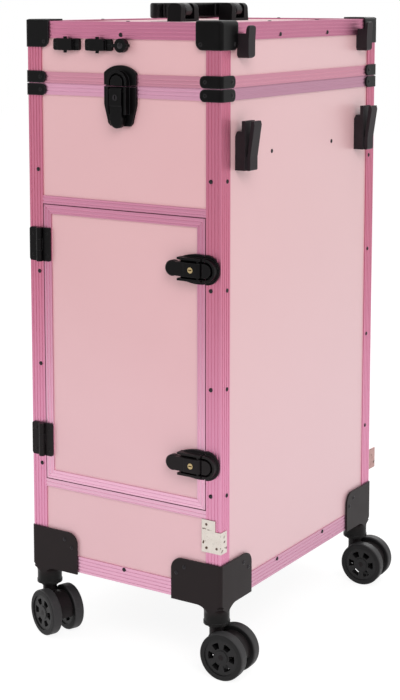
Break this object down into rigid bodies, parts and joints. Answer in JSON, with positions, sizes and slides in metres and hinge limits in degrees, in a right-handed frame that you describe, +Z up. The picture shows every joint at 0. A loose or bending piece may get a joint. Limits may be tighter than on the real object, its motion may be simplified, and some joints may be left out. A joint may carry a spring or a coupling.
{
  "type": "rolling makeup case",
  "caption": "Tall wheeled case in ribbed metal edging: hinged lid over a tray space, front door over a shelved cupboard, key latches, folding carry handle and swivel casters.",
  "frame": {"origin": "on the floor, under the middle of the whole object's box", "axes": "+Z up, the door faces -Y, +X to the right seen from the front"},
  "size_m": [0.2876, 0.39, 0.7193],
  "materials": {
    "pink_board": "matt pink sheet on fibreboard",
    "inner_board": "lined fibreboard",
    "rose_edging": "rose anodised ribbed section",
    "black_plastic": "satin moulded",
    "wheel_plastic": "satin moulded",
    "bright_steel": "bright zinc",
    "key_brass": "turned"
  },
  "bodies": {
    "case": {"left_panel": "pink_board", "right_panel": "pink_board", "back_panel": "pink_board", "front_panel": "pink_board", "bottom_panel": "inner_board", "compartment_floor": "inner_board", "shelf_board": "inner_board", "battens": "inner_board", "corner_posts": "rose_edging", "body_rails": "rose_edging", "door_cross_rails": "rose_edging", "foot_brackets": "black_plastic", "caster_stems": "bright_steel", "body_edge_clips": "black_plastic", "lid_latch_base": "black_plastic", "door_latch_keepers": "black_plastic", "door_hinge_frame_leaves": "black_plastic", "lid_hinge_body_leaves": "black_plastic", "tray_sockets": "black_plastic", "corner_plate": "bright_steel", "rear_bracket": "bright_steel", "body_screws": "black_plastic"},
    "lid": {"lid_top_panel": "pink_board", "lid_front_panel": "pink_board", "lid_back_panel": "pink_board", "lid_side_panels": "pink_board", "lid_rails": "rose_edging", "lid_corner_posts": "rose_edging", "lid_corner_caps": "black_plastic", "lid_edge_clips": "black_plastic", "handle_brackets": "black_plastic", "tray_hooks": "black_plastic", "front_clips": "black_plastic", "lid_latch_keeper": "black_plastic", "lid_hinge_leaves": "black_plastic", "lid_screws": "black_plastic"},
    "handle": {"carry_handle": "black_plastic"},
    "button": {"turn_button": "black_plastic"},
    "door": {"door_panel": "pink_board", "door_frame": "rose_edging", "door_hinge_leaves": "black_plastic", "door_latch_bases": "black_plastic"},
    "lid_lever": {"lid_latch_lever": "black_plastic"},
    "lid_key_plug": {"lid_latch_plug": "black_plastic"},
    "upper_lever": {"upper_latch_lever": "black_plastic"},
    "upper_key_plug": {"upper_latch_plug": "key_brass"},
    "lower_lever": {"lower_latch_lever": "black_plastic"},
    "lower_key_plug": {"lower_latch_plug": "key_brass"},
    "fork_fl": {"caster_fork_fl": "black_plastic"},
    "wheel_fl_a": {"wheel_fl_a": "wheel_plastic"},
    "wheel_fl_b": {"wheel_fl_b": "wheel_plastic"},
    "fork_fr": {"caster_fork_fr": "black_plastic"},
    "wheel_fr_a": {"wheel_fr_a": "wheel_plastic"},
    "wheel_fr_b": {"wheel_fr_b": "wheel_plastic"},
    "fork_br": {"caster_fork_br": "black_plastic"},
    "wheel_br_a": {"wheel_br_a": "wheel_plastic"},
    "wheel_br_b": {"wheel_br_b": "wheel_plastic"},
    "fork_bl": {"caster_fork_bl": "black_plastic"},
    "wheel_bl_a": {"wheel_bl_a": "wheel_plastic"},
    "wheel_bl_b": {"wheel_bl_b": "wheel_plastic"}
  },
  "joints": [
    {"name": "lid_hinge", "type": "hinge", "parent": "case", "child": "lid", "pos_m": [-0.01368, 0.1823, 0.632], "axis": [-1, 0, 0], "range_deg": [0, 95]},
    {"name": "door_hinge", "type": "hinge", "parent": "case", "child": "door", "pos_m": [-0.12418, -0.1771, 0.34], "axis": [0, 0, -1], "range_deg": [0, 170]},
    {"name": "handle_fold", "type": "hinge", "parent": "lid", "child": "handle", "pos_m": [-0.01368, 0.0026, 0.7108], "axis": [0, 1, 0], "range_deg": [0, 180]},
    {"name": "button_turn", "type": "hinge", "parent": "lid", "child": "button", "pos_m": [-0.00968, -0.1749, 0.67495], "axis": [0, -1, 0], "continuous": true},
    {"name": "lid_lever_lift", "type": "hinge", "parent": "case", "child": "lid_lever", "pos_m": [-0.01368, -0.1806, 0.627], "axis": [-1, 0, 0], "range_deg": [0, 90]},
    {"name": "lid_key_turn", "type": "hinge", "parent": "lid_lever", "child": "lid_key_plug", "pos_m": [-0.01368, -0.1806, 0.62], "axis": [0, -1, 0], "range_deg": [0, 90]},
    {"name": "upper_lever_lift", "type": "hinge", "parent": "door", "child": "upper_lever", "pos_m": [0.08832, -0.1806, 0.443], "axis": [0, 0, 1], "range_deg": [0, 90]},
    {"name": "upper_key_turn", "type": "hinge", "parent": "upper_lever", "child": "upper_key_plug", "pos_m": [0.08132, -0.1806, 0.443], "axis": [0, -1, 0], "range_deg": [0, 90]},
    {"name": "lower_lever_lift", "type": "hinge", "parent": "door", "child": "lower_lever", "pos_m": [0.08832, -0.1806, 0.232], "axis": [0, 0, 1], "range_deg": [0, 90]},
    {"name": "lower_key_turn", "type": "hinge", "parent": "lower_lever", "child": "lower_key_plug", "pos_m": [0.08132, -0.1806, 0.232], "axis": [0, -1, 0], "range_deg": [0, 90]},
    {"name": "swivel_fl", "type": "hinge", "parent": "case", "child": "fork_fl", "pos_m": [-0.12768, -0.1614, 0.065], "axis": [0, 0, 1], "continuous": true},
    {"name": "roll_fl_a", "type": "hinge", "parent": "fork_fl", "child": "wheel_fl_a", "pos_m": [-0.11274, -0.16714, 0.026], "axis": [0.3584, 0.9336, 0], "continuous": true},
    {"name": "roll_fl_b", "type": "hinge", "parent": "fork_fl", "child": "wheel_fl_b", "pos_m": [-0.11274, -0.16714, 0.026], "axis": [0.3584, 0.9336, 0], "continuous": true},
    {"name": "swivel_fr", "type": "hinge", "parent": "case", "child": "fork_fr", "pos_m": [0.10032, -0.1614, 0.065], "axis": [0, 0, 1], "continuous": true},
    {"name": "roll_fr_a", "type": "hinge", "parent": "fork_fr", "child": "wheel_fr_a", "pos_m": [0.1163, -0.16057, 0.026], "axis": [-0.0523, 0.9986, 0], "continuous": true},
    {"name": "roll_fr_b", "type": "hinge", "parent": "fork_fr", "child": "wheel_fr_b", "pos_m": [0.1163, -0.16057, 0.026], "axis": [-0.0523, 0.9986, 0], "continuous": true},
    {"name": "swivel_br", "type": "hinge", "parent": "case", "child": "fork_br", "pos_m": [0.10032, 0.1666, 0.065], "axis": [0, 0, 1], "continuous": true},
    {"name": "roll_br_a", "type": "hinge", "parent": "fork_br", "child": "wheel_br_a", "pos_m": [0.11626, 0.16799, 0.026], "axis": [-0.0872, 0.9962, 0], "continuous": true},
    {"name": "roll_br_b", "type": "hinge", "parent": "fork_br", "child": "wheel_br_b", "pos_m": [0.11626, 0.16799, 0.026], "axis": [-0.0872, 0.9962, 0], "continuous": true},
    {"name": "swivel_bl", "type": "hinge", "parent": "case", "child": "fork_bl", "pos_m": [-0.12768, 0.1666, 0.065], "axis": [0, 0, 1], "continuous": true},
    {"name": "roll_bl_a", "type": "hinge", "parent": "fork_bl", "child": "wheel_bl_a", "pos_m": [-0.11203, 0.16992, 0.026], "axis": [-0.2079, 0.9781, 0], "continuous": true},
    {"name": "roll_bl_b", "type": "hinge", "parent": "fork_bl", "child": "wheel_bl_b", "pos_m": [-0.11203, 0.16992, 0.026], "axis": [-0.2079, 0.9781, 0], "continuous": true}
  ]
}
